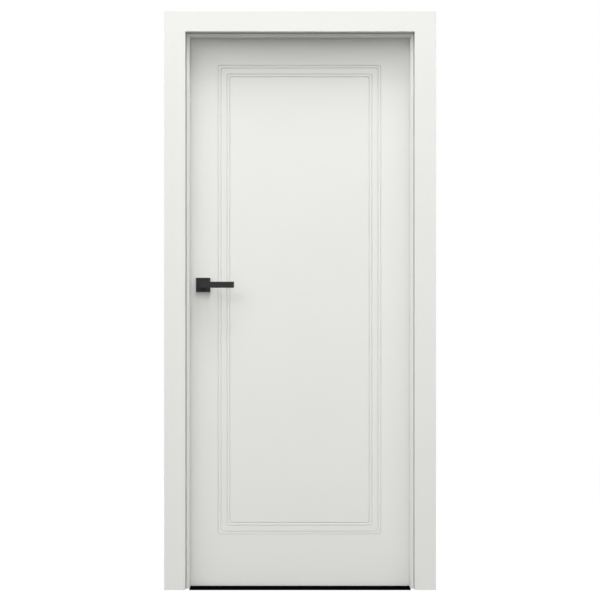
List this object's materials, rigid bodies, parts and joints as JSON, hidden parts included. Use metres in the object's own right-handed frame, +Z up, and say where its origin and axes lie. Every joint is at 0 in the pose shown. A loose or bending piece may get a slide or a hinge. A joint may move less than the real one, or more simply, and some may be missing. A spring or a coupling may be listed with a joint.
{
  "type": "interior door with frame",
  "caption": "White interior door in an adjustable rebated frame, with flat casings, a leaf with routed double-line panels, a square black lever set and hidden-side pin hinges.",
  "frame": {"origin": "on the outer wall face of the hinge side jamb, at floor level, in the middle of the wall's thickness", "axes": "+X out of that face, away from the doorway, so the door lies along -X; +Y through the doorway the way the leaf opens; +Z up"},
  "size_m": [0.98, 0.172, 2.09],
  "materials": {
    "frame_lacquer": "white satin lacquer on fibreboard",
    "leaf_lacquer": "white satin lacquer on fibreboard",
    "seal_rubber": "matt pale grey elastomer",
    "hardware_steel": "satin nickel plated steel",
    "handle_black": "matt black powder coat",
    "threshold_black": "matt black"
  },
  "bodies": {
    "frame": {"latch_jamb": "frame_lacquer", "hinge_jamb": "frame_lacquer", "head_jamb": "frame_lacquer", "front_casing_latch_side": "frame_lacquer", "front_casing_hinge_side": "frame_lacquer", "front_casing_head": "frame_lacquer", "rear_casing_latch_side": "frame_lacquer", "rear_casing_hinge_side": "frame_lacquer", "rear_casing_head": "frame_lacquer", "seal_latch_side": "seal_rubber", "seal_hinge_side": "seal_rubber", "seal_head": "seal_rubber", "frame_hinge_top": "hardware_steel", "frame_hinge_middle": "hardware_steel", "frame_hinge_bottom": "hardware_steel", "hinge_pin_top": "hardware_steel", "hinge_pin_middle": "hardware_steel", "hinge_pin_bottom": "hardware_steel", "strike_plate": "hardware_steel", "threshold_strip": "threshold_black"},
    "leaf": {"leaf_front_skin": "leaf_lacquer", "leaf_rear_skin": "leaf_lacquer", "latch_stile": "leaf_lacquer", "hinge_stile": "leaf_lacquer", "top_rail": "leaf_lacquer", "bottom_rail": "leaf_lacquer", "latch_case": "hardware_steel", "latch_bolt": "hardware_steel", "front_rosette": "handle_black", "rear_rosette": "handle_black", "leaf_hinge_top": "hardware_steel", "leaf_hinge_middle": "hardware_steel", "leaf_hinge_bottom": "hardware_steel"},
    "handle": {"front_lever": "handle_black", "rear_lever": "handle_black", "spindle": "hardware_steel"}
  },
  "joints": [
    {"name": "door_swing", "type": "hinge", "parent": "frame", "child": "leaf", "pos_m": [-0.0225, 0.0645, 1.02], "axis": [0, 0, -1], "range_deg": [0, 170]},
    {"name": "lever_turn", "type": "hinge", "parent": "leaf", "child": "handle", "pos_m": [-0.7905, 0.036, 1.101], "axis": [0, 1, 0], "range_deg": [0, 45], "stiffness_Nm_per_rad": 1.5, "springref_deg": -34.38}
  ]
}
